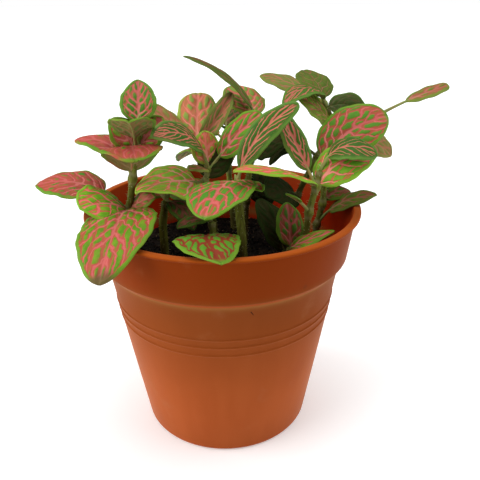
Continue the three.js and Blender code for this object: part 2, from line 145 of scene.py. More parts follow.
STEMS = {
    "left": stem(
        [(-38, -13, 79), (-39, -14, 95), (-39.5, -14, 107), (-38, -14, 113),
         (-36.5, -14, 121), (-34, -13, 133), (-32.5, -12, 143)],
        leaf(2, (-43.5, -61, 97.5), 30, 8, -8, 8, 0.06, sway=-1.8, taper=0.6, veins=3.7, brown=0.9),
        leaf(2, (-54.5, -31, 114.5), 26, 2.5, 26, 6, 0.05, veins=3.7, pink=0.46, dark=-0.6),
        leaf(2, (-79, -4, 116), 21, 6, 14, 6, 0.3, pink=2.1),
        leaf(2, (-27, -21, 115), 12, 1, -38, 12, 0.1, pink=1.2, pale=0.3),
        leaf(4, (-60, -6, 135), 13, 7, 15, 6, pink=3.2),
        leaf(4, (-31, -36, 134), 24, 9, 0, 5, 0.08, taper=0.5, pink=2.6),
        leaf(4, (-38, 12, 136), 15, 3, 0, 12, 0.2, dark=0.3),
        leaf(5, (-43, -13, 145), 14, 0, 45, 12, 0.03, pink=1.1, dark=0.15),
        leaf(5, (-23.5, -8, 144.5), 14, 0, -45, 12, 0.03, pink=0.9, dark=0.25),
        leaf(6, (-33, 0, 158), 15, 1, 0, 12, 0.03, taper=0.72, veins=2.5, pink=0.7, fine=0.3, dark=0.1),
        leaf(5, (-33, -32, 147.5), 19.5, 2, 0, 24, 0.3, pink=1.1),
    ),
    "left_inner": stem(
        [(-26, -10, 79), (-26, -10, 90), (-26, -10, 100), (-24, -10, 110)],
        leaf(3, (-37, 4, 112), 13, 2, 20, 10, pale=0.4),
        leaf(3, (-12, -22, 101), 12, 3, 0, 10, dark=0.6),
    ),
    "centre_left": stem(
        [(-4, 5, 79), (-5, 2, 100), (-8, -4, 115), (-6, -2, 120), (-11, 2, 128)],
        leaf(2, (-34, -24, 118), 23, 2, 58, 6, 0.12, twist=-75, sway=3, veins=4.0, pink=0.5, pale=0.2,
             dark=-1.1),
        leaf(3, (-26.5, -24, 140), 15, 8, 38, 8, 0.22, veins=2.2, fine=1.0),
        leaf(3, (16.5, -2, 144.5), 15.5, 1, -40, 10, 0.26, taper=0.5, veins=3.5, pink=0.72),
        leaf(3, (-7.5, 0, 137), 15, 0, 0, 10, 0.2, pink=1.15, fine=0.1, pale=0.25, dark=-0.9),
        leaf(4, (5, 15, 150), 10, 0, -50, 38, 0.08, taper=0.5, veins=2.2, pink=0.7, fine=0.6, pale=0.5,
             brown=0.6),
        leaf(4, (-10.5, 26, 148.5), 18, 0, 0, 8, taper=0.32, veins=3.4, pink=1.35, pale=0.45, dark=-0.5),
        leaf(4, (-30, 14, 146), 12, 0, 10, 10, 0.3, pale=0.8),
        leaf(4, (-27, 3, 136), 9, 4, 30, 10, 0.2, pale=0.6),
        leaf(3, (-14, -10, 123), 9, 1, 10, 8, fine=0.4, pale=0.5),
        leaf(1, (-26, 20, 103), 15, 3, 0, 8, dark=0.6),
        leaf(2, (4, 3, 131), 15, 2, -35, 8, dark=0.85),
    ),
    "front_low": stem(
        [(-4, -24, 79), (-4, -24, 96), (-5, -22, 105)],
        leaf(1, (-1, -65, 106.5), 25, 6, 0, 5, sway=4, pink=0.88, deep=0.95),
        leaf(2, (-18, -32, 106), 10, 2, 0, 10, dark=0.6),
    ),
    "front": stem(
        [(8, -22, 79), (7.5, -21, 96), (6.5, -18, 108), (6, -16, 119)],
        leaf(3, (-7, -46, 115), 28, 5, -8, 6, veins=3.8, pink=0.88),
        leaf(3, (15, -30, 120), 9, 1, 0, 10, 0.3, pink=0.7),
        leaf(3, (30.5, -12, 149.5), 12, 5, -42, 8, 0.14, taper=0.5, veins=2.4, pink=0.8, fine=1.0),
    ),
    "front_inner": stem(
        [(25, -15, 79), (26, -17, 85), (28, -20, 91)],
        leaf(2, (27, -11, 108.5), 14, 1, -20, 12, 0.06, pink=0.9, dark=0.3),
        leaf(1, (15, -5, 108), 17, 3, 0, 10, dark=0.9),
        leaf(2, (44.5, -27, 101.5), 11, 3, -14, 8, 0.05, sway=9, pink=0.5),
    ),
    "right_front": stem(
        [(34, -20, 79), (34, -20, 94), (35, -20, 107), (38, -17, 117), (40, -14, 123)],
        leaf(2, (24.5, -28, 118), 6, 1, 0, 10, 0.5),
        leaf(3, (4, -37, 130), 19, 3, 0, 8, 0.04, pink=1.05, dark=-0.5),
        leaf(3, (63, -12, 129.5), 19, 4, -32, 6, 0.05, veins=3.9, pink=0.49, pale=0.05, dark=-0.6),
        leaf(3, (24, -8, 145), 11, 0, 30, 12, 0.25, taper=0.5, veins=2.2, fine=0.9),
        leaf(4, (61, -20, 130), 14.5, 7, -24, 4, 0.2, taper=0.5, veins=2.6, pink=0.52, fine=1.0),
    ),
    "right": stem(
        [(42, 4, 79), (43, 4, 92), (45, 4, 102), (45, 4, 113), (43.5, 3, 122.5)],
        leaf(1, (66, -8, 110), 12, 3.8, -20, 6, 0.3, pink=0.4, pale=0.4, dark=0.45),
        leaf(2, (59, 9, 105.5), 10, 3, -20, 10, 0.15, pink=0.6, dark=0.45),
        leaf(4, (73, 10.5, 140), 23.5, 4, -45, 8, 0.04, taper=0.5, veins=3.5, pink=0.95),
    ),
    "back_right": stem(
        [(32, 22, 79), (36, 21, 100), (44, 18, 120), (51, 21, 133), (48.5, 25, 141.5)],
        leaf(3, (33.5, 16, 148), 18, 2, 35, 10, pink=0.15, pale=0.35, dark=-0.05),
        leaf(2, (22, 20, 116), 11, 8, 25, 10, dark=0.9),
        leaf(4, (65, 25, 136.5), 18, 4, 45, 5, 0.05, pink=0.1, dark=0.3),
        leaf(4, (26.5, 8, 145.5), 14, 8, 10, 5, veins=2.4, pink=0.55, fine=0.7, dark=0.2),
        leaf(4, (40, 44, 156), 18, 3, 0, 5, 0.2, taper=0.5, pink=0.07, pale=0.35, dark=0.45),
        leaf(4, (18, 33, 155), 14, 3, 20, 5, 0.3, pink=0.18, pale=0.6, dark=0.22),
        leaf(1, (20, 3, 106), 20, 3, 38, 8, dark=0.9),
    ),
    "far_right": stem(
        [(44, 12, 79), (47, 12, 100), (54, 13, 113), (64, 17, 127), (70, 19, 138)],
        leaf(4, (102, 20, 151.5), 9, 1, -20, 8, 0.45, taper=0.35, pink=0.8, pale=0.4, dark=0.3),
        leaf(3, (79, 18, 120), 12, 2, -50, 10, pink=0.3, pale=0.9, dark=0.2),
    ),
    "centre": stem(
        [(10, 14, 79), (11, 15, 100), (13, 15, 120), (16, 15, 138)],
        leaf(3, (-16, 22, 165), 12, 5, 0, 12, pink=0.3, pale=0.4, dark=0.5),
        leaf(3, (6, 30, 151), 21, 1, 0, 8, taper=0.45, pink=0.9, pale=0.35, dark=-0.3),
        leaf(2, (31, 7, 134), 18, 2, -35, 8, dark=0.85),
        leaf(2, (-2, 11, 138), 13, 2, 0, 8, dark=0.5),
        leaf(1, (26, 28, 104), 20, 2, -60, 8, dark=0.85),
    ),
    "back": stem(
        [(5, 33, 79), (4, 36, 96), (3, 38, 110), (2, 40, 122)],
        leaf(2, (-24, 64, 107), 20, 9, 0, 6, 0.2),
        leaf(2, (22, 65, 108), 19, 9, 0, 6, 0.2, pink=1.3),
        leaf(3, (-22, 47, 131), 16, 4, 0, 8, 0.2, pink=0.9),
        leaf(3, (26, 47, 131), 16, 4, 0, 8, 0.2, pink=1.1),
        leaf(3, (3, 66, 136), 17, 3, 0, 8, 0.38, fine=0.5, dark=0.6),
        leaf(1, (-31, 37, 101), 16, 4, 0, 8, dark=0.3),
    ),
}

# How much stouter than the rest these stems are
GIRTHS = {"front": 1.3, "left_inner": 1.25}

# Blades, stalks and stems: millimetres and counts, and shares of the width for scallop and ripple
SCALLOP = 0.013
QUILT_HEIGHT = 0.28
MIDRIB_GROOVE = 0.25
RIPPLE = 0.018
BLADE_THICKNESS = 0.62
EDGE_THINNING = 0.34
STALK_RADIUS = 0.82
STALK_RINGS = 22
STALK_SIDES = 8
STALK_END = 0.93
STALK_THINNING = 0.25
MIDRIB_THINNING = 0.42
MIDRIB_DROP = 0.42
STEM_RADIUS = 1.42
STEM_SIDES = 14
JOINT_SWELL = 0.62
FOOT_RISES = (-9.7, -5, 2.1)
WAY_SPACING = 0.8
BUD_LENGTH = 3.2
BUD_FLATNESS = 0.6

# Places of a leafy stem's materials
BLADE_FACE, BLADE_UNDERSIDE, STALK_SKIN, STEM_SKIN = range(4)

# No stem runs this way, so that a tube's sides can start from it
TUBE_SEAM = (0.3, 0.9, 0.1)

# The vein net, in millimetres and shares of the blade
VEIN_RISE = 0.4
VEIN_BEND = 1.35
MIDRIB_PULL = 0.62
LATERAL_PULL = 0.58
CROSS_PULL = 0.44
RIM_PULL = 0.34
CELL_LENGTH = 3.3
MARGIN_BAND = 1.9
LEAST_HALF = 0.3
ACROSS_DRIFT = 0.24
ALONG_DRIFT = 0.11

# Where a leaf's colours start and are full: strength of the net, millimetres from the margin, share of the
# blade's length
VEIN_STEP = (0.35, 1.35)
MARGIN_STEP = (0.5, 1.4)
RIM_STEP = (1.9, 0.4)
TIP_STEP = (0.99, 0.93)
WITHERED_STEP = (0.88, 0.96)

# No leaf's colour goes over this
LIGHTEST_LEAF = (0.9, 0.9, 0.9)


# Arithmetic that sockets and arrays share


def maths_method(operation):
    """A method of a value that adds one Math node."""
    def method(self, *others):
        return self.maths(operation, *others)
    return method


class Value:
    """A socket of a node tree that takes part in Python arithmetic."""

    def __init__(self, builder, socket):
        self.builder = builder
        self.socket = socket

    def maths(self, operation, *others):
        return self.builder.add("ShaderNodeMath", {"operation": operation}, [self, *others])

    def __rsub__(self, other):
        return self.maths("MULTIPLY", -1.0) + other

    def __rtruediv__(self, other):
        return self.maths("POWER", -1.0) * other

    __add__ = __radd__ = maths_method("ADD")
    __sub__ = maths_method("SUBTRACT")
    __mul__ = __rmul__ = maths_method("MULTIPLY")
    __truediv__ = maths_method("DIVIDE")
    __pow__ = maths_method("POWER")
    __abs__ = maths_method("ABSOLUTE")


def either(operation, on_array):
    """A function of one number that works on sockets and on arrays."""
    def work(x):
        return x.maths(operation) if isinstance(x, Value) else on_array(x)
    return work


sine = either("SINE", np.sin)
floor = either("FLOOR", np.floor)
sign = either("SIGN", np.sign)
exponential = either("EXPONENT", np.exp)


def unit(x):
    """x kept between 0 and 1."""
    return x.maths("MINIMUM", 1.0).maths("MAXIMUM", 0.0) if isinstance(x, Value) else np.clip(x, 0, 1)


def smooth(x, low, high):
    """A soft step from 0 at low to 1 at high."""
    share = unit((x - low) / (high - low))
    return share * share * (3 - 2 * share)


def hump(distance, spread):
    """1 on a line, falling away to the sides over about the spread."""
    share = distance / spread
    return exponential(share * share * -1.0)


def pull(distance, width):
    """How strongly a line draws colour to it: 1 at its own width, less beyond."""
    return width * width / (distance * distance + 0.004)


def to_nearest(x):
    """Distance from the nearest whole number."""
    return abs(x - floor(x + 0.5))


class Builder:
    """Makes nodes in one tree. Sockets come back as values for arithmetic."""

    def __init__(self, tree):
        self.tree = tree
        tree.nodes.clear()

    def node(self, kind, settings=None, links=()):
        """A node with its settings made first, and then its sockets filled by position or name."""
        made = self.tree.nodes.new(kind)
        for name, setting in (settings or {}).items():
            setattr(made, name, setting)
        pairs = links.items() if isinstance(links, dict) else enumerate(links)
        for key, value in pairs:
            if isinstance(value, Value):
                self.tree.links.new(value.socket, made.inputs[key])
            elif value is not None:
                made.inputs[key].default_value = value
        return made

    def add(self, kind, settings=None, links=(), output=0):
        return Value(self, self.node(kind, settings, links).outputs[output])

    def blend(self, share, first, second):
        """Two colours mixed."""
        links = {0: share, 6: first, 7: second}
        return self.add("ShaderNodeMix", {"data_type": "RGBA"}, links, 2)

    def layers(self, colour, *coats):
        """A colour under coats of other colours, each given as its share and its colour."""
        for share, coat in coats:
            colour = self.blend(share, colour, coat)
        return colour

    def noise(self, place, scale, detail=2.0, roughness=0.5, output=0):
        """Soft clouds. Output 1 gives three of them as a vector."""
        links = {"Vector": place, "Scale": scale, "Detail": detail, "Roughness": roughness}
        return self.add("ShaderNodeTexNoise", None, links, output)

    def streaks(self, place, scale, upright):
        """Clouds drawn out upwards. upright is how fast they change with height, against sideways."""
        drawn = self.add("ShaderNodeMapping", None, {"Vector": place, "Scale": (1, 1, upright)})
        return self.noise(drawn, scale, 3)

    def cells(self, place, scale):
        """Distance to the nearest of many strewn spots."""
        return self.add("ShaderNodeTexVoronoi", None, {"Vector": place, "Scale": scale})

    def parts(self, vector):
        """The three numbers of a vector."""
        split = self.node("ShaderNodeSeparateXYZ", None, [vector])
        return [Value(self, socket) for socket in split.outputs]

    def attribute(self, name):
        return self.add("ShaderNodeAttribute", {"attribute_name": name}, (), "Vector")

    def place(self):
        """Where the shaded point lies in the object."""
        return self.add("ShaderNodeTexCoord", None, (), "Object")

    def bump(self, height, strength, distance):
        links = {"Strength": strength, "Distance": distance, "Height": height}
        return self.add("ShaderNodeBump", None, links)


def new_material(name):
    """An empty material with its builder."""
    material = bpy.data.materials.new(name)
    material.use_nodes = True
    return material, Builder(material.node_tree)


def finish_material(build, colour, roughness, normal=None, **constants):
    """Ends a material in one shader. Constants are set on the shader's own sockets."""
    links = {"Base Color": colour, "Roughness": roughness, "Normal": normal}
    links.update({name.replace("_", " "): value for name, value in constants.items()})
    shader = build.node("ShaderNodeBsdfPrincipled", None, links)
    output = build.node("ShaderNodeOutputMaterial")
    build.tree.links.new(shader.outputs[0], output.inputs[0])


# Veins


def vein_rate(reach, half, length, rise=VEIN_RISE):
    """How much one pair of side veins counts up for each millimetre across them."""
    steepness = rise * VEIN_BEND * reach ** (VEIN_BEND - 1) / half
    return (1 / (length * length) + steepness * steepness) ** 0.5


def vein_net(across, along, half, length, seed, pairs, fine):
    """The vein net at a point of a blade: it is vein where the net is over 1, and cell where it is less.

    across runs from -1 to 1 between the margins and along from 0 to 1, half is the half width there and
    length the blade's, in millimetres. fine is 1 on leaves with thin veins. Works on sockets and on arrays.
    """
    reach = abs(across)
    side = sign(across)
    rise = VEIN_RISE + 0.22 * fine
    even = (along - rise * reach ** VEIN_BEND) * pairs + 0.22 * side
    waver = 0.13 * sine(even * 2.3 + seed * 1.9 + side) + 0.08 * sine(reach * half * 1.2 + seed * 3.1 + even)
    count = even + waver
    band = floor(count)
    step = reach * half / CELL_LENGTH + 0.42 * sine(band * 2.4 + seed * 1.7 + side) + 0.3 * (count - band)
    edge = (1 - reach) * half
    rim = abs(edge - MARGIN_BAND - 0.35 * sine(count * (2 * math.pi) + 1.2))
    inside = smooth(edge, MARGIN_BAND - 0.5, MARGIN_BAND + 0.5)
    lateral_gap = to_nearest(count) / (vein_rate(reach, half, length, rise) * pairs)
    midrib = pull(reach * half, MIDRIB_PULL * (1.2 - 0.6 * along)) * (1 - 0.35 * fine)
    lateral = pull(lateral_gap, LATERAL_PULL * (1.2 - 0.5 * reach)) * inside * (1 - 0.72 * fine)
    cross = pull(to_nearest(step) * CELL_LENGTH, CROSS_PULL) * inside * (1 - 0.97 * fine)
    around = pull(rim, RIM_PULL) * (1 - 0.9 * fine)
    thin = cross + around
    net = midrib + lateral + thin
    return SimpleNamespace(net=net, main=midrib + lateral * 0.4, thin=thin / (net + 0.05), edge=edge)


def half_width(along, form):
    """Half the width of a blade at a share of its length."""
    peak = BASE_POWER / (BASE_POWER + form.taper)
    most = peak ** BASE_POWER * (1 - peak) ** form.taper
    return form.width / 2 * along ** BASE_POWER * (1 - along) ** form.taper / most


# Meshes


def mesh_of(name, points, faces, slots=(), attributes=None, face_slots=None):
    """A smooth mesh from points in metres, with its materials and vector attributes."""
    mesh = bpy.data.meshes.new(name)
    mesh.from_pydata(np.asarray(points).tolist(), [], faces)
    for material in slots:
        mesh.materials.append(material)
    if face_slots is not None:
        mesh.polygons.foreach_set("material_index", face_slots)
    for key, values in (attributes or {}).items():
        layer = mesh.attributes.new(key, "FLOAT_VECTOR", "POINT")
        layer.data.foreach_set("vector", np.asarray(values, dtype=np.float32).ravel())
    mesh.shade_smooth()
    return mesh


def placed(name, data):
    """A new object in the scene."""
    made = bpy.data.objects.new(name, data)
    bpy.context.scene.collection.objects.link(made)
    return made


def piece_of(name, mesh, slot, replaced=None):
    """Puts a mesh in the scene as a piece of the plant or its pot."""
    piece = placed(name, mesh)
    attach(piece, "root")
    if replaced:
        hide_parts(replaced)


def evaluated_mesh(carrier):
    """The mesh that an object's modifiers give, with the carrier then removed."""
    graph = bpy.context.evaluated_depsgraph_get()
    mesh = bpy.data.meshes.new_from_object(carrier.evaluated_get(graph), depsgraph=graph)
    carrier.modifiers.clear()
    bpy.data.objects.remove(carrier)
    return mesh


def unit_rows(vectors):
    """Vectors of length 1."""
    return vectors / np.linalg.norm(vectors, axis=-1, keepdims=True)


class Sheaf:
    """Gathers the points, faces and leaf values of one leafy stem."""

    def __init__(self):
        self.points = []
        self.faces = []
        self.face_slots = []
        self.values = {"blade": [], "leaf": [], "look": [], "tint": []}
        self.count = 0

    def put(self, points, faces, slots, **values):
        """Adds points with their faces, and one value for them all or one for each."""
        points = np.asarray(points, dtype=float).reshape(-1, 3)
        for face in faces:
            self.faces.append([corner + self.count for corner in face])
        self.face_slots.extend(slots)
        self.points.append(points)
        for key, store in self.values.items():
            store.append(np.broadcast_to(values.get(key, (0, 0, 0)), points.shape))
        self.count += len(points)

    def mesh(self, name, materials):
        values = {key: np.concatenate(store) for key, store in self.values.items()}
        points = np.concatenate(self.points) * MM
        return mesh_of(name, points, self.faces, materials, values, self.face_slots)


def looks_of(form):
    """What a leaf's blade and stalk carry of its colouring, with its painted light and shade."""
    return {"look": (form.pink, form.fine, form.pale), "tint": (form.brown, form.dark, form.deep)}


def leaf_line(base, form, places):
    """Centre, tangent, across and up along a leaf's curved midrib."""
    start = np.array(base, dtype=float)
    tip = np.array(form.tip, dtype=float)
    chord = tip - start
    side = unit_rows(np.array([chord[1], -chord[0], 0.0]))
    up = unit_rows(np.cross(side, chord))
    middle = start + chord * MIDDLE_SHARE + up * 2 * form.bow + side * 2 * form.sway
    t = places[:, None]
    centre = (1 - t) ** 2 * start + 2 * t * (1 - t) * middle + t ** 2 * tip
    tangent = unit_rows((1 - t) * (middle - start) + t * (tip - middle))
    normal = unit_rows(np.cross(side, tangent))
    turn = np.radians(form.roll + form.twist * t)
    across = side * np.cos(turn) + normal * np.sin(turn)
    lift = normal * np.cos(turn) - side * np.sin(turn)
    return centre, tangent, across, lift


def blade_into(sheaf, base, form, seed, sizes):
    """One blade as a thin closed sheet, quilted between its veins."""
    rows, columns = sizes.blade_rows, sizes.blade_columns
    along = 0.5 - 0.5 * np.cos(np.linspace(0.035, 1, rows + 1) * math.pi)
    along[-1] = 0.998
    share = np.linspace(-1, 1, columns + 1)
    share = np.sign(share) * np.abs(share) ** 0.85
    places = form.stalk + (1 - form.stalk) * along
    centre, tangent, across, lift = leaf_line(base, form, places)
    steps = np.linalg.norm(np.diff(centre, axis=0), axis=1)
    length = float(steps.sum())
    v, u = np.meshgrid(along, share, indexing="ij")
    pairs = 1 / (form.veins * vein_rate(0.6, form.width / 2, length))
    scallop = 1 + SCALLOP * np.sin(v * pairs * 2 * math.pi + seed + np.sign(u))
    half = half_width(v, form) * scallop
    veins = vein_net(u, v, half, length, seed, pairs, form.fine)
    quilt = smooth(veins.net, 1.6, 0.4) * smooth(veins.edge, 0.2, 2.0)
    fold = math.radians(form.fold)
    rise = half * (np.sqrt(u * u + 0.004) * math.sin(fold) - MARGIN_CURL * u * u)
    ripple = np.sin(v * 17 + seed * 2 + np.sign(u) * 1.3) * np.abs(u) ** 3
    rise = rise + ripple * form.width * RIPPLE + quilt * QUILT_HEIGHT * (1 - 0.5 * form.fine)
    rise = rise - hump(u * half, 0.8) * MIDRIB_GROOVE
    middle = centre[:, None] + across[:, None] * (half * u * math.cos(fold))[..., None]
    middle = middle + lift[:, None] * rise[..., None]
    thickness = BLADE_THICKNESS - EDGE_THINNING * np.abs(u) ** 6
    offset = lift[:, None] * (thickness / 2)[..., None]
    points = np.concatenate([(middle + offset).reshape(-1, 3), (middle - offset).reshape(-1, 3)])

    across_count = columns + 1
    under = (rows + 1) * across_count
    top = np.arange(under).reshape(rows + 1, across_count)
    corners = [top[:-1, :-1], top[:-1, 1:], top[1:, 1:], top[1:, :-1]]
    upper = np.stack(corners, axis=-1).reshape(-1, 4)
    lower = upper[:, ::-1] + under
    left, right, first, last = top[:, 0], top[:, -1], top[0], top[-1]
    walls = []
    for near in (left, right[::-1], last, first[::-1]):
        walls.append(np.stack([near[:-1], near[1:], near[1:] + under, near[:-1] + under], axis=-1))
    walls = np.concatenate(walls)
    faces = np.concatenate([upper, walls, lower]).tolist()
    slots = [BLADE_FACE] * (len(upper) + len(walls)) + [BLADE_UNDERSIDE] * len(lower)
    blade = np.stack([u, v, half], axis=-1).reshape(-1, 3)
    sheaf.put(
        points, faces, slots,
        blade=np.concatenate([blade, blade]),
        leaf=(length, seed, pairs),
        **looks_of(form),
    )


def tube_into(sheaf, centre, tangent, radii, sides, slot, flat=1.0, **values):
    """A closed round tube along a line, its ends rounded off."""
    right = unit_rows(np.cross(tangent, TUBE_SEAM))
    up = np.cross(right, tangent)
    angles = np.linspace(0, 2 * math.pi, sides, endpoint=False)
    ring = np.cos(angles)[None, :, None] * right[:, None] + flat * np.sin(angles)[None, :, None] * up[:, None]
    points = (centre[:, None] + ring * np.asarray(radii)[:, None, None]).reshape(-1, 3)
    rings = len(centre)
    faces = []
    for r in range(rings - 1):
        for i in range(sides):
            j = (i + 1) % sides
            low, high = r * sides, (r + 1) * sides
            faces.append([low + i, high + i, high + j, low + j])
    faces.append(list(range(sides)))
    faces.append([(rings - 1) * sides + i for i in range(sides)][::-1])
    sheaf.put(points, faces, [slot] * len(faces), **values)


def petiole_into(sheaf, base, form):
    """The leaf stalk, which goes on under the blade as its raised midrib."""
    places = np.linspace(0, STALK_END, STALK_RINGS)
    centre, tangent, _, lift = leaf_line(base, form, places)
    under = smooth(places, form.stalk, form.stalk + 0.15)
    radii = STALK_RADIUS - STALK_THINNING * smooth(places, 0, form.stalk + 0.05)
    radii = radii - MIDRIB_THINNING * under * (0.4 + 0.6 * places)
    centre = centre - lift * (under * MIDRIB_DROP)[:, None]
    tube_into(sheaf, centre, tangent, radii, STALK_SIDES, STALK_SKIN, **looks_of(form))


def curve_point(t, times, points):
    """A point of the curve through four points that are passed at four times."""
    for starts, ends in ((times[:3], times[1:]), (times[:2], times[2:]), (times[1:2], times[2:3])):
        points = [
            (end - t) / (end - start) * p + (t - start) / (end - start) * q
            for start, end, p, q in zip(starts, ends, points, points[1:])
        ]
    return points[0]


def smooth_way(way):
    """Points along the centripetal curve through a stem's way points, as in the solids."""
    x, y, z = way[0]
    foot = [(x, y, z + rise) for rise in FOOT_RISES]
    knots = np.array(foot + list(way[1:]), dtype=float)
    knots = np.vstack([2 * knots[0] - knots[1], knots, 2 * knots[-1] - knots[-2]])
    line = []
    for i in range(1, len(knots) - 2):
        points = list(knots[i - 1:i + 3])
        steps = [np.linalg.norm(far - near) for near, far in zip(points, points[1:])]
        times = [0.0]
        for step in steps:
            times.append(times[-1] + step ** 0.5)
        count = max(2, int(steps[1] / WAY_SPACING))
        for t in np.linspace(times[1], times[2], count, endpoint=False):
            line.append(curve_point(t, times, points))
    line.append(knots[-2])
    return np.array(line)


def stem_into(sheaf, way, forms, girth):
    """The round stem with a swollen joint where leaves grow, and a bud at its end."""
    centre = smooth_way(way)
    tangent = unit_rows(np.gradient(centre, axis=0))
    joints = np.array([way[at] for at in sorted({form.at for form in forms})], dtype=float)
    away = np.min(np.linalg.norm(centre[:, None] - joints[None], axis=2), axis=1)
    radii = girth * (STEM_RADIUS + JOINT_SWELL * hump(away, 1.7) - 0.1 * hump(away - 4.5, 2.0))
    radii[-2:] *= (0.8, 0.35)
    height = np.arange(len(centre)) / len(centre)
    values = np.repeat(np.stack([away, height, 0 * away], axis=-1), STEM_SIDES, axis=0)
    tube_into(sheaf, centre, tangent, radii, STEM_SIDES, STEM_SKIN, blade=values)
    bud_into(sheaf, centre[-1], tangent[-1], way)


def bud_into(sheaf, place, heading, way):
    """Two folded young leaves at the end of a stem."""
    turn = way[0][0] * 0.7
    for side in (0, math.pi):
        lean = np.array([math.cos(turn + side), math.sin(turn + side), 0.0])
        places = np.linspace(0, 1, 7)
        centre = place + heading * (places * BUD_LENGTH)[:, None] + lean * (0.3 + 0.9 * places ** 2)[:, None]
        tangent = unit_rows(np.gradient(centre, axis=0))
        radii = 0.15 + 0.75 * np.sin(np.clip(places, 0.02, 0.97) * math.pi) ** 0.8
        tube_into(sheaf, centre, tangent, radii, STALK_SIDES, STALK_SKIN, BUD_FLATNESS, look=(0.5, 0, 0))


# Materials


def leaf_colours(build, settings, upper):
    """Colour, dullness and height of a blade's face, from the values that the leaf carries, its painted light
    and shade among them.
    """
    across, along, half = build.parts(build.attribute("blade"))
    length, seed, pairs = build.parts(build.attribute("leaf"))
    pink, fine, pale = build.parts(build.attribute("look"))
    brown, dark, deep = build.parts(build.attribute("tint"))
    place = build.place()
    drift_across, drift_along, _ = build.parts(build.noise(place, 280, output=1))
    drift_across = (drift_across - 0.5) * ACROSS_DRIFT * (1 - across * across) * (0.5 + abs(across))
    drift_along = (drift_along - 0.5) * ALONG_DRIFT
    half = half.maths("MAXIMUM", LEAST_HALF)
    veins = vein_net(across + drift_across, along + drift_along, half, length, seed, pairs, fine)
    mottle = build.noise(place, 260, 3)
    blotch = build.noise(place, 90, 2)
    patch = build.noise(place, 330, 2)

    fading = 1.08 - 0.4 * across * across
    strength = veins.net * pink * fading * (1.3 * mottle + 1.4 * patch - 0.62) * (1 - 0.25 * fine)
    net = smooth(strength, *VEIN_STEP) * smooth(veins.edge, *MARGIN_STEP) * smooth(along, *TIP_STEP)
    blush = smooth(blotch, 0.45, 0.75) * (pink - 0.8).maths("MAXIMUM", 0.0) * 0.6
    main = unit(smooth(veins.main, 0.7, 2.6) + 0.4 * (1 - abs(across)) - 0.1)
    root = smooth(veins.main, 0.8, 2.4) * smooth(along, 0.7, 0.1)
    rim = smooth(veins.edge, *RIM_STEP)
    vein = build.layers(
        settings.vein_colour,
        (main, settings.midrib_colour),
        (root * 0.7, settings.root_colour),
        (smooth(veins.thin, 0.35, 0.9) * 0.7, settings.thin_vein_colour),
        (fine * 0.8, settings.fine_vein_colour),
        # Painted shade on the veins of a leaf in shade
        (deep, settings.deep_vein_colour),
    )
    cell = build.layers(
        settings.cell_colour,
        (smooth(mottle, 0.3, 0.7), settings.cell_light_colour),
        (smooth(sine(seed * 5.1), -0.7, 1.0) * 0.6, settings.cool_cell_colour),
        (fine * 0.85, settings.fine_cell_colour),
        (rim * 0.9, build.blend(fine * 0.7, settings.margin_colour, settings.fine_margin_colour)),
    )
    withered = brown * smooth(along + (blotch - 0.5) * 0.24, *WITHERED_STEP)
    colour = build.layers(
        cell,
        (unit(net + blush), vein),
        (pale * 0.62, settings.pale_colour),
        (withered, settings.withered_colour),
    )
    if not upper:
        colour = build.blend(0.72 - 0.4 * rim, colour, settings.underside_colour)
    # Painted shade: leaves deep in the plant blend towards a near-black green
    colour = build.blend(smooth(dark, 0, 0.9) * 0.97, colour, settings.shade_colour)
    # Painted light: a value under 0 makes the leaf's colour lighter
    lighter = 1 - dark.maths("MINIMUM", 0.0)
    colour = build.add("ShaderNodeVectorMath", {"operation": "SCALE"}, {0: colour, "Scale": lighter})
    colour = build.add("ShaderNodeVectorMath", {"operation": "MINIMUM"}, [colour, LIGHTEST_LEAF])
    height = net * (-0.5 if upper else 0.8) + mottle * 0.12
    return colour, 0.35 * smooth(dark, 0.2, 0.9), height


def blade_material(name, settings, upper):
    """The face of a leaf: green cells in a pink net inside a green margin, with a faint quilted gloss."""
    material, build = new_material(name)
    colour, dull, height = leaf_colours(build, settings, upper)
    grain = build.noise(build.place(), 900, 2)
    rough = (0.46 if upper else 0.55) + 0.15 * grain + dull
    normal = build.bump(height + grain * 0.08, 0.5, 0.4 * MM)
    finish_material(build, colour, rough, normal, Specular_IOR_Level=0.12)
    return material


def petiole_material(settings):
    """Leaf stalks and buds: green, flushed with pink, with fine streaks, and painted shade on the stalks of
    shaded leaves.
    """
    material, build = new_material("petiole_skin")
    pink = build.parts(build.attribute("look"))[0]
    dark = build.parts(build.attribute("tint"))[1]
    streak = build.noise(build.place(), 500, 2)
    flush = unit(0.1 + 0.35 * pink) * smooth(streak, 0.25, 0.7)
    colour = build.layers(
        settings.petiole_green,
        (flush, settings.petiole_colour),
        # Painted shade on the stalks of shaded leaves
        (dark * 0.7, settings.shade_colour),
    )
    normal = build.bump(streak, 0.4, 0.3 * MM)
    finish_material(build, colour, 0.5 + 0.15 * streak, normal, Specular_IOR_Level=0.15)
    return material


def stem_material(settings):
    """Stem skin: streaked olive, browner low down, with a paler ring at the joints."""
    material, build = new_material("stem_skin")
    away, rise, _ = build.parts(build.attribute("blade"))
    place = build.place()
    streak = build.streaks(place, 900, 0.15)
    mottle = build.noise(place, 180, 3)
    colour = build.layers(
        settings.stem_colour,
        (smooth(streak, 0.3, 0.7), settings.stem_light_colour),
        (smooth(rise + mottle * 0.3, 0.85, 0.35) * 0.75, settings.stem_low_colour),
        (unit(hump(away - 1.9, 0.9) * 0.25), settings.joint_colour),
    )
    normal = build.bump(streak + mottle, 0.5, 0.4 * MM)
    finish_material(build, colour, 0.5 + 0.25 * streak, normal, Specular_IOR_Level=0.1)
    return material


def hair_material(settings):
    """Short pale hairs."""
    material, build = new_material("stem_hair")
    tone = build.noise(build.place(), 300, 1)
    colour = build.blend(tone, settings.hair_colour, settings.stem_light_colour)
    finish_material(build, colour, 0.6 + 0.1 * tone, None, Sheen_Weight=0.3)
    return material


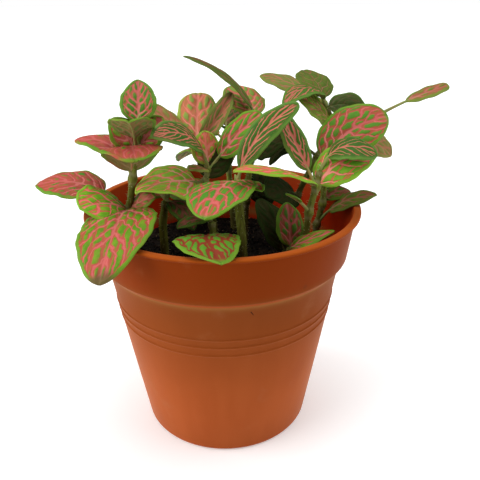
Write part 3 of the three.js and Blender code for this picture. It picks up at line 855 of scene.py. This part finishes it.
def pot_material(settings, inner):
    """Matte moulded plastic in terracotta: faint flow marks, fine grain, soil dust and specks. The outer wall
    has painted shade, darker towards the collar, and a painted highlight along the crease under the collar.

    The inner wall has a painted glow: a redder colour and a faint emission near its top, standing in for
    light that comes through the thin plastic. It has more soil on it and no haze. The same finish is on the
    collar's underside.
    """
    material, build = new_material("inner_plastic" if inner else "terracotta_plastic")
    place = build.place()
    z = build.parts(place)[2]
    cloud = build.noise(place, 22, 3)
    grain = build.noise(place, 1500, 2)
    flow = build.streaks(place, 160, 0.08)
    marks = smooth(cloud * 0.7 + flow * 0.3, 0.35, 0.68)
    colour = build.blend(marks, settings.plastic_colour, settings.plastic_light_colour)
    if inner:
        # Painted glow: the inner wall takes a redder colour and, near its top, a faint emission
        shine = build.blend(smooth(z, *GLOW_START), (0, 0, 0, 1), settings.glow_colour)
        finish = {"Sheen_Weight": 0.04, "Emission_Color": shine, "Emission_Strength": 0.04}
        colour = build.blend(smooth(z, *GLOW_FADE) * 0.5, settings.glow_colour, colour)
    else:
        finish = {"Sheen_Weight": 0.35}
        # Painted shade: the outer wall is darker towards the collar, and the collar takes a redder shade
        tone = build.blend(smooth(z, *COLLAR_TONE), settings.body_shade_colour, settings.plastic_shade_colour)
        colour = build.blend(smooth(z, *SHADED_WALL) * 0.9, colour, tone)
    sparse = 0.38 if inner else 0.5
    soiled = smooth(build.noise(place, 35, 1), sparse, sparse + 0.1)
    speck = smooth(build.cells(place, 75), 0.13, 0.06) * soiled
    colour = build.layers(
        colour,
        # Painted highlight: a paler line along the crease under the collar
        (hump(z - CREASE_HEIGHT, CREASE_SPREAD) * 0.85, settings.plastic_crease_colour),
        # Lighter colour over the top of the lip
        (smooth(z, *WORN_EDGE) * 0.45, settings.plastic_edge_colour),
        (smooth(build.noise(place, 60, 4), 0.6, 0.8) * 0.22, settings.dust_colour),
        (speck * 0.85, settings.soil_colour),
    )
    rough = 0.46 + 0.14 * cloud + 0.08 * grain + 0.25 * speck
    normal = build.bump(grain * 0.4 + flow * 0.5, 0.25, 0.3 * MM)
    finish_material(build, colour, rough, normal, Specular_IOR_Level=0.02, Sheen_Roughness=0.3,
                    Sheen_Tint=(1.0, 0.6, 0.4, 1), **finish)
    return material


def peat_material(settings, name, light):
    """Damp peat: near black, with grey-brown specks, more of them where light is higher."""
    material, build = new_material(name)
    place = build.place()
    clump = build.noise(place, 150, 4, 0.65)
    speck = build.cells(place, 520)
    colour = build.layers(
        settings.peat_colour,
        (smooth(clump, 0.4, 0.68), settings.peat_light_colour),
        (smooth(speck, 0.28, 0.1) * (0.25 + light), settings.fibre_colour),
    )
    normal = build.bump(clump + speck * 0.4, 0.9, 1 * MM)
    finish_material(build, colour, 0.78 + 0.15 * clump, normal, Specular_IOR_Level=0.1)
    return material


# Pot


def arc_points(centre, radius, first, last, count):
    """Points of a profile's rounded corner, from one angle to another in degrees."""
    points = []
    for angle in np.radians(np.linspace(first, last, count)):
        points.append((centre[0] + radius * math.cos(angle), centre[1] + radius * math.sin(angle)))
    return points


def pot_profile(settings):
    """The pot's section from the middle of its underside, round the lip, to the middle of its floor."""
    taper = (settings.shoulder_radius - settings.base_radius) / settings.shoulder_height

    def body(z):
        return settings.base_radius + taper * z

    pad, recess, ring = 14 * MM, 1.5 * MM, settings.base_radius - 7.4 * MM
    points = [(0, 0), (pad, 0), (pad + recess, recess), (ring - recess, recess), (ring, 0)]
    points += arc_points((body(0) - POT_ROUNDING, POT_ROUNDING), POT_ROUNDING, -90, -8, 6)
    for height in RING_HEIGHTS:
        for share in np.linspace(-1, 1, 9):
            proud = settings.ring_proud * math.cos(share * math.pi / 2) ** 2
            points.append((body(height) + proud, height + share * RING_HALF))
    foot, collar, shoulder = settings.collar_foot_radius, settings.collar_height, settings.shoulder_height
    points += [(body(shoulder - 1 * MM), shoulder - 1 * MM), (body(shoulder) + 0.25 * MM, shoulder)]
    points += arc_points((foot - POT_ROUNDING, collar + 0.2 * MM), POT_ROUNDING, -50, 0, 5)
    lip_foot = POT_HEIGHT - settings.lip_thickness
    points.append((settings.collar_top_radius, lip_foot - 0.5 * MM))
    points.append((LIP_RADIUS - 0.9 * MM, lip_foot - 0.1 * MM))
    outer_lip, inner_lip = LIP_RADIUS - LIP_FOOT_ROUNDING, LIP_RADIUS - settings.lip_width
    points += arc_points((outer_lip, lip_foot + LIP_FOOT_ROUNDING), LIP_FOOT_ROUNDING, -80, 0, 4)
    points += arc_points((LIP_RADIUS - LIP_ROUNDING, POT_HEIGHT - LIP_ROUNDING), LIP_ROUNDING, 0, 85, 5)
    points += arc_points((inner_lip, POT_HEIGHT - LIP_ROUNDING), LIP_ROUNDING, 95, 180, 5)
    points += [(foot - POT_WALL, collar), (settings.shoulder_radius - POT_WALL, shoulder)]
    points += [(body(POT_FLOOR) - POT_WALL, POT_FLOOR), (0, POT_FLOOR)]
    return points


def lathe(profile, sides):
    """Points and faces of a profile turned about the upright axis. Its ends lie on the axis."""
    angles = np.linspace(0, 2 * math.pi, sides, endpoint=False)
    inner = profile[1:-1]
    points = [(0, 0, profile[0][1])]
    for radius, z in inner:
        points += [(radius * math.cos(a), radius * math.sin(a), z) for a in angles]
    points.append((0, 0, profile[-1][1]))
    faces = []
    for i in range(sides):
        j = (i + 1) % sides
        faces.append([0, 1 + j, 1 + i])
        for ring in range(len(inner) - 1):
            low, high = 1 + ring * sides, 1 + (ring + 1) * sides
            faces.append([low + i, low + j, high + j, high + i])
        top = 1 + (len(inner) - 1) * sides
        faces.append([top + i, top + j, len(points) - 1])
    return points, faces


def drain_cutter(settings):
    """Round posts where the drain holes go."""
    low, high, radius = -2 * MM, POT_FLOOR + 2 * MM, settings.drain_radius
    post, post_faces = lathe([(0, low), (radius, low), (radius, high), (0, high)], DRAIN_SIDES)
    points, faces = [], []
    for hole in range(settings.drain_count):
        angle = 2 * math.pi * (hole + 0.5) / settings.drain_count
        x, y = settings.drain_circle * math.cos(angle), settings.drain_circle * math.sin(angle)
        faces += [[len(points) + corner for corner in face] for face in post_faces]
        points += [(x + point[0], y + point[1], point[2]) for point in post]
    return placed("drain_cutter", mesh_of("drain_cutter", points, faces))


# Potting mix


def mix_height(x, y):
    """Height of the mix's top in metres, as in the solid, with finer clods."""
    x, y = x / MM, y / MM
    height = 0.7 * np.sin(x / 9 + 1) * np.cos(y / 11 - 1)
    height += 0.5 * np.sin(x / 4.1 + 2.3) * np.cos(y / 3.7 - 2.3)
    clods = 0.28 * np.sin(x * 0.9 + 2 * np.sin(y * 0.5)) * np.sin(y * 1.1 + 1.7 * np.sin(x * 0.43))
    return MIX_TOP + (height + clods) * MM


def scatter_group(name, material, shape):
    """A geometry node tree that strews small shapes over a surface.

    shape makes one of them in the tree, and returns its geometry and its turn.
    """
    group = bpy.data.node_groups.new(name, "GeometryNodeTree")
    group.interface.new_socket("Geometry", in_out="INPUT", socket_type="NodeSocketGeometry")
    for label in ("Density", "Size", "Spread"):
        group.interface.new_socket(label, in_out="INPUT", socket_type="NodeSocketFloat")
    group.interface.new_socket("Seed", in_out="INPUT", socket_type="NodeSocketInt")
    group.interface.new_socket("Geometry", in_out="OUTPUT", socket_type="NodeSocketGeometry")
    build = Builder(group)
    entry = build.node("NodeGroupInput")
    surface, density, size, spread, seed = [Value(build, socket) for socket in list(entry.outputs)[:5]]
    spots = build.node("GeometryNodeDistributePointsOnFaces", {"distribute_method": "RANDOM"},
                       {"Mesh": surface, "Density": density, "Seed": seed})
    shaped, turn = shape(build, Value(build, spots.outputs["Rotation"]), seed)
    limits = {2: size * (1 - spread), 3: size * (1 + spread), "Seed": seed}
    scale = build.add("FunctionNodeRandomValue", {"data_type": "FLOAT"}, limits, 1)
    points = Value(build, spots.outputs["Points"])
    strewn = build.add("GeometryNodeInstanceOnPoints", None,
                       {"Points": points, "Instance": shaped, "Rotation": turn, "Scale": scale})
    real = build.add("GeometryNodeRealizeInstances", None, [strewn])
    dressed = build.add("GeometryNodeSetMaterial", None, {"Geometry": real, "Material": material})
    build.node("NodeGroupOutput", None, [dressed])
    return group


def random_turn(build, low, high, seed):
    """Angles about the three axes, at random between two limits."""
    limits = {0: low, 1: high, "Seed": seed}
    return build.add("FunctionNodeRandomValue", {"data_type": "FLOAT_VECTOR"}, limits)


def tapered_rod(build, sides, top, bottom, length):
    """An upright closed rod with a few sides."""
    links = {"Vertices": sides, "Radius Top": top, "Radius Bottom": bottom, "Depth": length}
    return build.add("GeometryNodeMeshCone", None, links)


def hair_shape(build, facing, seed):
    """A thin three-sided hair that leans a little off the surface's normal."""
    lean = random_turn(build, (-0.6, -0.6, 0.0), (0.6, 0.6, FULL_TURN), seed)
    turned = build.add("FunctionNodeRotateRotation", {"rotation_space": "LOCAL"}, [facing, lean])
    return tapered_rod(build, 3, 0.0, 0.075, 1.0), turned


def crumb_shape(build, facing, seed):
    """An angular crumb turned at random."""
    ball = build.add("GeometryNodeMeshIcoSphere", None, {"Radius": 1.0, "Subdivisions": 1})
    squeezed = build.add("GeometryNodeTransform", None, {"Geometry": ball, "Scale": (1.0, 0.75, 0.6)})
    return squeezed, random_turn(build, (0.0, 0.0, 0.0), (FULL_TURN, FULL_TURN, FULL_TURN), seed)


def fibre_shape(build, facing, seed):
    """A short bark or root fibre that lies on the surface."""
    turn = random_turn(build, (1.2, -0.3, 0.0), (1.9, 0.3, FULL_TURN), seed)
    return tapered_rod(build, 5, 0.03, 0.07, 1.6), turn


def strewn_mesh(surface, group, density, size, spread, seed):
    """The mesh of what a scatter tree strews over a surface."""
    carrier = placed("carrier", surface)
    modifier = carrier.modifiers.new("scatter", "NODES")
    modifier.node_group = group
    values = {"Density": density, "Size": size, "Spread": spread, "Seed": seed}
    for item in group.interface.items_tree:
        if item.in_out == "INPUT" and item.name in values:
            modifier[item.identifier] = values[item.name]
    return evaluated_mesh(carrier)


# Settings


def colour_of(name, description, red, green, blue):
    return FloatVectorProperty(name=name, description=description, subtype="COLOR", size=4, min=0, max=1,
                               default=(red, green, blue, 1))


def length_of(name, description, millimetres):
    return FloatProperty(name=name, description=description, unit="LENGTH", default=millimetres * MM)


def angle_of(name, description, degrees):
    return FloatProperty(name=name, description=description, unit="ROTATION", default=math.radians(degrees))


def amount_of(name, description, default):
    return FloatProperty(name=name, description=description, default=default, min=0)


def count_of(name, description, default, least=0):
    return IntProperty(name=name, description=description, default=default, min=least)


class NERVE_PG_pot(bpy.types.PropertyGroup):
    """Sizes and colours of the pot"""

    base_radius: length_of("Base radius", "Radius of the body at the base", 39.4)
    shoulder_radius: length_of("Shoulder radius", "Radius of the body under the collar", 52.3)
    shoulder_height: length_of("Shoulder height", "Height of the collar's underside", 81.7)
    collar_foot_radius: length_of("Collar foot radius", "Radius of the collar at its foot", 55.4)
    collar_height: length_of("Collar height", "Height at which the collar starts", 85)
    collar_top_radius: length_of("Collar top radius", "Radius of the collar under the lip", 58.0)
    lip_width: length_of("Lip width", "Width of the flat lip", 2.6)
    lip_thickness: length_of("Lip thickness", "Thickness of the lip's edge", 1.3)
    ring_proud: length_of("Ring height", "How far the three rings stand out", 0.35)
    drain_radius: length_of("Drain radius", "Radius of a drain hole", 3.5)
    drain_circle: length_of("Drain circle", "Radius on which the drain holes lie", 24)
    drain_count: count_of("Drain holes", "Number of drain holes", 6, 1)
    sides: count_of("Sides", "Faces round the pot", 160, 24)
    plastic_colour: colour_of("Plastic", "Terracotta plastic", 0.33, 0.067, 0.013)
    plastic_light_colour: colour_of("Light plastic", "Lighter flow marks", 0.375, 0.082, 0.018)
    # Painted shade on the outer wall, on the collar and on the body under it
    plastic_shade_colour: colour_of("Shaded collar", "Deeper tone of the collar", 0.170, 0.0230, 0.0003)
    body_shade_colour: colour_of("Shaded body", "Deeper tone under the collar", 0.156, 0.038, 0.0065)
    # Painted highlight along the crease under the collar
    plastic_crease_colour: colour_of("Crease", "Paler underside of the collar", 0.24, 0.092, 0.022)
    # Painted glow of the inner wall
    glow_colour: colour_of("Inner wall", "Inner wall, where light comes through", 0.36, 0.020, 0.001)
    plastic_edge_colour: colour_of("Worn edge", "Rubbed top of the lip", 0.52, 0.115, 0.014)
    dust_colour: colour_of("Dust", "Dry soil dust on the wall", 0.34, 0.15, 0.07)
    soil_colour: colour_of("Soil speck", "Specks of soil on the wall", 0.06, 0.03, 0.015)


class NERVE_PG_mix(bpy.types.PropertyGroup):
    """Grain and colours of the potting mix"""

    crumb_size: length_of("Crumb size", "Middle radius of a crumb", 0.75)
    crumb_density: amount_of("Crumbs", "Crumbs on a square metre", 260000)
    fibre_size: length_of("Fibre size", "A fibre is 1.6 times as long", 2.6)
    fibre_density: amount_of("Fibres", "Fibres on a square metre", 32000)
    seed: count_of("Seed", "Pattern of the crumbs", 7)
    peat_colour: colour_of("Peat", "Damp peat", 0.003, 0.0022, 0.0015)
    peat_light_colour: colour_of("Dry peat", "Drier clods", 0.013, 0.008, 0.005)
    fibre_colour: colour_of("Fibre", "Fibres and bark", 0.16, 0.10, 0.055)


class NERVE_PG_leaf(bpy.types.PropertyGroup):
    """Fineness and colours of the leafy stems"""

    blade_rows: count_of("Rows", "Faces along a blade", 52, 8)
    blade_columns: count_of("Columns", "Faces across a blade", 32, 4)
    hair_length: length_of("Hair length", "Middle length of a stem hair", 1.1)
    hair_density: amount_of("Hairs", "Hairs on a square metre of stem", 330000)
    seed: count_of("Seed", "Pattern of the hairs", 3)
    margin_colour: colour_of("Margin", "Green margin of a leaf", 0.13, 0.26, 0.016)
    cell_colour: colour_of("Cell", "Green between the veins", 0.075, 0.215, 0.006)
    cell_light_colour: colour_of("Light cell", "Lighter green between the veins", 0.15, 0.285, 0.014)
    cool_cell_colour: colour_of("Cool cell", "Cooler green that some leaves have more of", 0.055, 0.21, 0.022)
    vein_colour: colour_of("Vein", "Side veins", 0.41, 0.056, 0.043)
    midrib_colour: colour_of("Midrib", "Midrib and the roots of the side veins", 0.51, 0.108, 0.095)
    root_colour: colour_of("Midrib root", "Pale lower part of the midrib", 0.70, 0.24, 0.19)
    thin_vein_colour: colour_of("Cross vein", "Thin veins between the side veins", 0.33, 0.095, 0.035)
    fine_vein_colour: colour_of("Fine vein", "Thin veins of the darker leaves", 0.50, 0.155, 0.095)
    # Painted shade on the veins of a shaded leaf
    deep_vein_colour: colour_of("Deep vein", "Dark red veins of old leaves", 0.20, 0.030, 0.010)
    fine_cell_colour: colour_of("Dark cell", "Green of the darker leaves", 0.026, 0.088, 0.010)
    fine_margin_colour: colour_of("Dark margin", "Margin of the darker leaves", 0.09, 0.18, 0.035)
    pale_colour: colour_of("Pale leaf", "Brownish pink of the pale leaves", 0.36, 0.22, 0.080)
    withered_colour: colour_of("Withered tip", "Brown of a dry tip", 0.13, 0.075, 0.03)
    underside_colour: colour_of("Underside", "Olive underside of a leaf", 0.16, 0.20, 0.06)
    # Painted shade on leaves deep in the plant
    shade_colour: colour_of("Shade leaf", "Old leaves deep in the plant", 0.014, 0.026, 0.003)
    petiole_green: colour_of("Green stalk", "Green of a leaf stalk", 0.24, 0.33, 0.085)
    petiole_colour: colour_of("Petiole", "Pink flush of a leaf stalk", 0.42, 0.17, 0.09)
    stem_colour: colour_of("Stem", "Olive stem", 0.085, 0.095, 0.010)
    stem_light_colour: colour_of("Light stem", "Light streaks of a stem", 0.18, 0.21, 0.030)
    stem_low_colour: colour_of("Low stem", "Brown foot of a stem", 0.065, 0.048, 0.014)
    joint_colour: colour_of("Joint", "Whitish rim of a joint", 0.42, 0.36, 0.22)
    hair_colour: colour_of("Hair", "Pale hairs", 0.55, 0.56, 0.30)


class NERVE_PG_stage(bpy.types.PropertyGroup):
    """Camera, lights and floor"""

    camera_back: length_of("Camera distance", "How far the camera stands in front of the pot's axis", 226)
    camera_height: length_of("Camera height", "Height of the camera over the floor", 185.4)
    camera_pitch: angle_of("Pitch", "Downward tilt", 23.59)
    camera_yaw: angle_of("Yaw", "Turn to the left", -1.85)
    camera_roll: angle_of("Roll", "Lean of the picture", -0.47)
    focal_pixels: amount_of("Focal length", "Focal length in picture pixels", 540)
    left_strength: amount_of("Left light", "Strength of the soft left light", 3.2)
    right_strength: amount_of("Right light", "Strength of the soft right light", 1.35)
    top_strength: amount_of("Top light", "Strength of the soft light above", 2.1)
    softness: angle_of("Softness", "Breadth of each light", 55)
    sky_strength: amount_of("Surround", "Strength of the white surround", 0.16)
    floor_colour: colour_of("Floor", "Pale studio floor", 0.9, 0.9, 0.9)


# Operators


class NERVE_OT_pot(bpy.types.Operator):
    """Make the plastic pot with its collar, lip, rings and drain holes"""

    bl_idname = "nerve.pot"
    bl_label = "Pot"

    def execute(self, context):
        settings = context.scene.nerve_pot
        points, faces = lathe(pot_profile(settings), settings.sides)
        materials = [pot_material(settings, False), pot_material(settings, True)]
        slots = []
        corners = np.array(points)
        shoulder, collar = settings.shoulder_height, settings.collar_height
        radii = (settings.base_radius, settings.shoulder_radius, settings.collar_foot_radius,
                 settings.collar_top_radius)
        for face in faces:
            x, y, z = corners[face].mean(axis=0)
            middle_of_wall = np.interp(z, (0, shoulder, collar, POT_HEIGHT), radii) - POT_WALL / 2
            inside = math.hypot(x, y) < middle_of_wall and z > POT_FLOOR - MM / 2
            under_collar = shoulder < z < collar - CREASE_TOP
            slots.append(int(inside or under_collar))
        carrier = placed("pot_blank", mesh_of("pot_blank", points, faces, materials, None, slots))
        cutter = drain_cutter(settings)
        holes = carrier.modifiers.new("holes", "BOOLEAN")
        holes.object = cutter
        holes.operation = "DIFFERENCE"
        mesh = evaluated_mesh(carrier)
        bpy.data.objects.remove(cutter)
        mesh.shade_smooth()
        mesh.set_sharp_from_angle(angle=SHARP_ANGLE)
        piece_of("nursery_pot", mesh, "pot_plastic", "pot")
        return {"FINISHED"}


class NERVE_OT_mix(bpy.types.Operator):
    """Make the potting mix, and strew its crumbs and fibres"""

    bl_idname = "nerve.mix"
    bl_label = "Potting mix"

    def execute(self, context):
        settings = context.scene.nerve_mix
        peat = peat_material(settings, "damp_peat", 0.0)
        crumbs = peat_material(settings, "peat_crumb", 0.5)
        reach = MIX_HIGH.x
        profile = [(0, MIX_LOW.z), (MIX_LOW_RADIUS, MIX_LOW.z)]
        profile += [(reach * (MIX_RINGS - i) / MIX_RINGS, MIX_TOP) for i in range(MIX_RINGS)] + [(0, MIX_TOP)]
        points, faces = lathe(profile, MIX_SIDES)
        points = np.array(points)
        top = points[:, 2] > MIX_TOP - MM
        points[top, 2] = mix_height(points[top, 0], points[top, 1])
        piece_of("peat_bed", mesh_of("peat_bed", points, faces, [peat]), "potting_mix", "potting_mix")
        inner = top & (np.hypot(points[:, 0], points[:, 1]) < reach - MIX_BARE_EDGE)
        surface = mesh_of("mix_surface", points, [face for face in faces if inner[face].all()])
        kinds = (
            ("peat_crumbs", crumb_shape, settings.crumb_density, settings.crumb_size, 0.65),
            ("peat_fibres", fibre_shape, settings.fibre_density, settings.fibre_size, 0.5),
        )
        for order, (name, shape, density, size, spread) in enumerate(kinds):
            group = scatter_group(name, crumbs, shape)
            mesh = strewn_mesh(surface, group, density, size, spread, settings.seed + order)
            piece_of(name, mesh, "potting_mix")
        return {"FINISHED"}


class NERVE_OT_stems(bpy.types.Operator):
    """Make every leafy stem with its joints, petioles, blades and bud"""

    bl_idname = "nerve.stems"
    bl_label = "Leafy stems"

    def execute(self, context):
        settings = context.scene.nerve_leaf
        materials = [
            blade_material("leaf_face", settings, True),
            blade_material("leaf_underside", settings, False),
            petiole_material(settings),
            stem_material(settings),
        ]
        for order, (name, (way, forms)) in enumerate(STEMS.items()):
            sheaf = Sheaf()
            stem_into(sheaf, way, forms, GIRTHS.get(name, 1))
            for number, form in enumerate(forms):
                seed = 1.0 + order * 2.3 + number * 0.9
                petiole_into(sheaf, way[form.at], form)
                blade_into(sheaf, way[form.at], form, seed, settings)
            node = "leafy_stem_" + name
            piece_of("stem_" + name, sheaf.mesh("stem_" + name, materials), "leaf", node)
        return {"FINISHED"}


class NERVE_OT_hairs(bpy.types.Operator):
    """Cover the stems with short pale hairs"""

    bl_idname = "nerve.hairs"
    bl_label = "Stem hairs"

    def execute(self, context):
        settings = context.scene.nerve_leaf
        group = scatter_group("hairs", hair_material(settings), hair_shape)
        sheaf = Sheaf()
        for name, (way, forms) in STEMS.items():
            stem_into(sheaf, way, forms, GIRTHS.get(name, 1))
        surface = sheaf.mesh("stem_surface", [])
        mesh = strewn_mesh(surface, group, settings.hair_density, settings.hair_length, 0.4, settings.seed)
        piece_of("stem_hairs", mesh, "leaf")
        return {"FINISHED"}


class NERVE_OT_stage(bpy.types.Operator):
    """Set the camera, the soft studio lights and the pale floor"""

    bl_idname = "nerve.stage"
    bl_label = "Stage"

    def execute(self, context):
        settings = context.scene.nerve_stage
        scene = context.scene
        self.camera(scene, settings)
        for side, place in LIGHTS.items():
            self.light(side + "_light", place, getattr(settings, side + "_strength"), settings.softness)
        self.surround(scene, settings)
        scene.view_settings.view_transform = "Standard"
        self.floor(settings)
        return {"FINISHED"}

    @staticmethod
    def camera(scene, settings):
        """A camera in front of the pot, turned, tilted and then rolled."""
        data = bpy.data.cameras.new("camera")
        data.lens = settings.focal_pixels / IMAGE_SIZE * data.sensor_width
        data.clip_start = 10 * MM
        camera = placed("camera", data)
        turn = Matrix.Rotation(settings.camera_yaw, 4, "Z")
        tilt = Matrix.Rotation(math.pi / 2 - settings.camera_pitch, 4, "X")
        roll = Matrix.Rotation(settings.camera_roll, 4, "Z")
        stand = Matrix.Translation((0, -settings.camera_back, settings.camera_height))
        camera.matrix_world = stand @ turn @ tilt @ roll
        scene.camera = camera

    @staticmethod
    def light(name, place, strength, softness):
        """A broad far light that shines from a place towards the plant."""
        data = bpy.data.lights.new(name, "SUN")
        data.energy = strength
        data.angle = softness
        lamp = placed(name, data)
        lamp.location = place
        lamp.rotation_mode = "QUATERNION"
        lamp.rotation_quaternion = Vector(place).to_track_quat("Z", "Y")

    @staticmethod
    def surround(scene, settings):
        """A surround that looks white and lights the plant softly."""
        world = bpy.data.worlds.new("white_surround")
        world.use_nodes = True
        build = Builder(world.node_tree)
        seen = build.add("ShaderNodeLightPath", None, (), "Is Camera Ray")
        strength = settings.sky_strength + seen * (1 - settings.sky_strength)
        glow = build.add("ShaderNodeBackground", None, {"Color": WHITE, "Strength": strength})
        build.node("ShaderNodeOutputWorld", None, [glow])
        scene.world = world

    @staticmethod
    def floor(settings):
        """A broad pale floor just under the pot."""
        material, build = new_material("pale_floor")
        tone = build.noise(build.place(), 3, 2)
        colour = build.blend(tone * 0.1, settings.floor_colour, (0.8, 0.8, 0.8, 1))
        finish_material(build, colour, 0.7, None, Emission_Color=WHITE, Emission_Strength=FLOOR_GLOW)
        far, low = FLOOR_REACH, -FLOOR_DROP
        points = [(-far, -far, low), (far, -far, low), (far, far, low), (-far, far, low)]
        placed("floor", mesh_of("floor", points, [[0, 1, 2, 3]], [material]))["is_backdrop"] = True


class NERVE_PT_parts(bpy.types.Panel):
    """Makers of the plant's parts, and their settings"""

    bl_idname = "NERVE_PT_parts"
    bl_label = "Nerve plant"
    bl_space_type = "VIEW_3D"
    bl_region_type = "UI"
    bl_category = "Nerve plant"

    def draw(self, context):
        for maker in OPERATORS:
            self.layout.operator(maker.bl_idname)
        for name in SETTINGS:
            box = self.layout.box()
            group = getattr(context.scene, name)
            for key in group.bl_rna.properties.keys():
                if key not in ("rna_type", "name"):
                    box.prop(group, key)


OPERATORS = (NERVE_OT_pot, NERVE_OT_mix, NERVE_OT_stems, NERVE_OT_hairs, NERVE_OT_stage)
SETTINGS = {
    "nerve_pot": NERVE_PG_pot,
    "nerve_mix": NERVE_PG_mix,
    "nerve_leaf": NERVE_PG_leaf,
    "nerve_stage": NERVE_PG_stage,
}


def register():
    for cls in (*SETTINGS.values(), *OPERATORS, NERVE_PT_parts):
        bpy.utils.register_class(cls)
    for name, group in SETTINGS.items():
        setattr(bpy.types.Scene, name, PointerProperty(type=group))


def unregister():
    for name in SETTINGS:
        delattr(bpy.types.Scene, name)
    for cls in (NERVE_PT_parts, *reversed(OPERATORS), *reversed(list(SETTINGS.values()))):
        bpy.utils.unregister_class(cls)


def main():
    register()
    bpy.ops.nerve.pot()
    bpy.ops.nerve.mix()
    bpy.ops.nerve.stems()
    bpy.ops.nerve.hairs()
    bpy.ops.nerve.stage()
    dressed_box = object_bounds()
    sizes = {
        "cad_box": [list(corner) for corner in CAD_BOX],
        "visual_box": [list(corner) for corner in dressed_box],
    }


if __name__ == "__main__":
    main()
